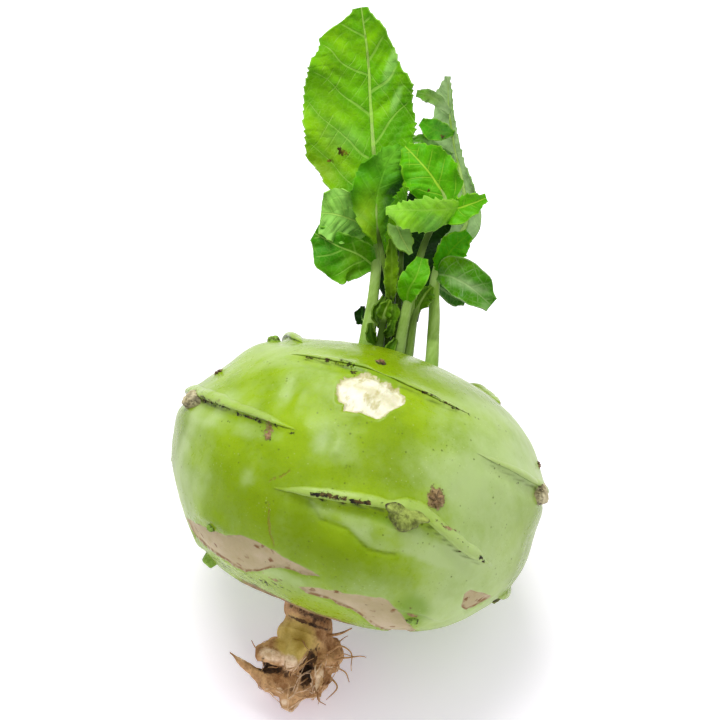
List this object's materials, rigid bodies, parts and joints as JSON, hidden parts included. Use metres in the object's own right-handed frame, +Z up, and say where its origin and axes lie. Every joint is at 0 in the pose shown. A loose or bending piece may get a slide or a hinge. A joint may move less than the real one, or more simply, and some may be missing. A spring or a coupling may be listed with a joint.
{
  "type": "kohlrabi",
  "caption": "Kohlrabi lying on its side: a round swollen stem with ridged leaf scars, a broken root below it and young leaves at its crown.",
  "frame": {"origin": "middle of the small flat spot under the swollen stem, on the surface it lies on", "axes": "+Z up from the surface, +Y the level direction from the root to the leaves, +X to its right when seen from the root"},
  "size_m": [0.1235, 0.1704, 0.1543],
  "materials": {
    "stem_skin": "smooth waxy skin with a soft gloss",
    "root_bark": "rough dry bark with soil in it",
    "leaf_upper": "satin leaf",
    "leaf_blue_green": "satin leaf",
    "leaf_underside": "matt pale underside of a leaf",
    "leaf_young": "satin leaf",
    "leaf_dark": "matt leaf in the shade"
  },
  "bodies": {
    "root": {"swollen_stem": "stem_skin", "root": "root_bark", "leaf_tall": "leaf_upper", "leaf_inner": "leaf_blue_green", "leaf_centre": "leaf_upper", "leaf_right": "leaf_underside", "leaf_heart": "leaf_young", "leaf_folded": "leaf_young", "leaf_thin": "leaf_young", "leaf_bud": "leaf_young", "leaf_outer": "leaf_dark", "leaf_back": "leaf_dark"}
  },
  "joints": []
}
